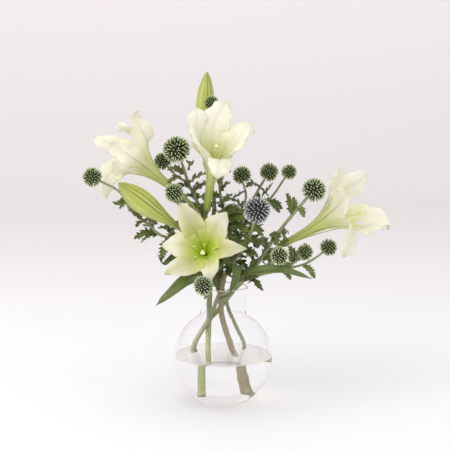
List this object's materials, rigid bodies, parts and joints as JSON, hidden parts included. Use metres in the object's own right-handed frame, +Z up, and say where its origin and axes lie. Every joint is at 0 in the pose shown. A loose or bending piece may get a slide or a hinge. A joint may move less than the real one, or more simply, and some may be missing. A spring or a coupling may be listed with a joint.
{
  "type": "lilies in a vase",
  "caption": "Round clear glass vase with a short neck, part filled with water, holding pale trumpet lilies, their closed buds and globe thistles on branching stems.",
  "frame": {"origin": "centre of the vase's flat underside", "axes": "+Z up, +X to the right of the bouquet's front, -Y towards whoever looks at the front"},
  "size_m": [0.4264, 0.1808, 0.467],
  "materials": {
    "glass": "clear, thin and polished",
    "water": "clear still water",
    "petal": "satin cream white, pale green towards the throat and the midrib",
    "pistil": "smooth pale green",
    "bud": "satin green with pale ribs",
    "lily_stem": "smooth fresh green",
    "lily_leaf": "satin green with fine lengthwise veins",
    "thistle_stem": "dry grey green",
    "thistle_head": "grey green spikes with pale tips"
  },
  "bodies": {
    "root": {"vase": "glass", "water": "water", "flower_front_tepal_1": "petal", "flower_front_tepal_2": "petal", "flower_front_tepal_3": "petal", "flower_front_tepal_4": "petal", "flower_front_tepal_5": "petal", "flower_front_tepal_6": "petal", "flower_front_pistil": "pistil", "flower_left_tepal_1": "petal", "flower_left_tepal_2": "petal", "flower_left_tepal_3": "petal", "flower_left_tepal_4": "petal", "flower_left_tepal_5": "petal", "flower_left_tepal_6": "petal", "flower_left_pistil": "pistil", "flower_top_tepal_1": "petal", "flower_top_tepal_2": "petal", "flower_top_tepal_3": "petal", "flower_top_tepal_4": "petal", "flower_top_tepal_5": "petal", "flower_top_tepal_6": "petal", "flower_top_pistil": "pistil", "flower_right_tepal_1": "petal", "flower_right_tepal_2": "petal", "flower_right_tepal_3": "petal", "flower_right_tepal_4": "petal", "flower_right_tepal_5": "petal", "flower_right_tepal_6": "petal", "flower_right_pistil": "pistil", "bud_top": "bud", "bud_left": "bud", "lily_stem_main": "lily_stem", "lily_stem_right": "lily_stem", "lily_leaf_low_left": "lily_leaf", "lily_leaf_low_right": "lily_leaf", "lily_leaf_hanging": "lily_leaf", "lily_leaf_curled": "lily_leaf", "lily_leaf_arching": "lily_leaf", "thistle_stem_left": "thistle_stem", "thistle_stem_centre": "thistle_stem", "thistle_stem_right": "thistle_stem", "thistle_stem_front": "thistle_stem", "thistle_head_01": "thistle_head", "thistle_head_02": "thistle_head", "thistle_head_03": "thistle_head", "thistle_head_04": "thistle_head", "thistle_head_05": "thistle_head", "thistle_head_06": "thistle_head", "thistle_head_07": "thistle_head", "thistle_head_08": "thistle_head", "thistle_head_09": "thistle_head", "thistle_head_10": "thistle_head", "thistle_head_11": "thistle_head", "thistle_head_12": "thistle_head", "thistle_head_13": "thistle_head", "thistle_head_14": "thistle_head"}
  },
  "joints": []
}
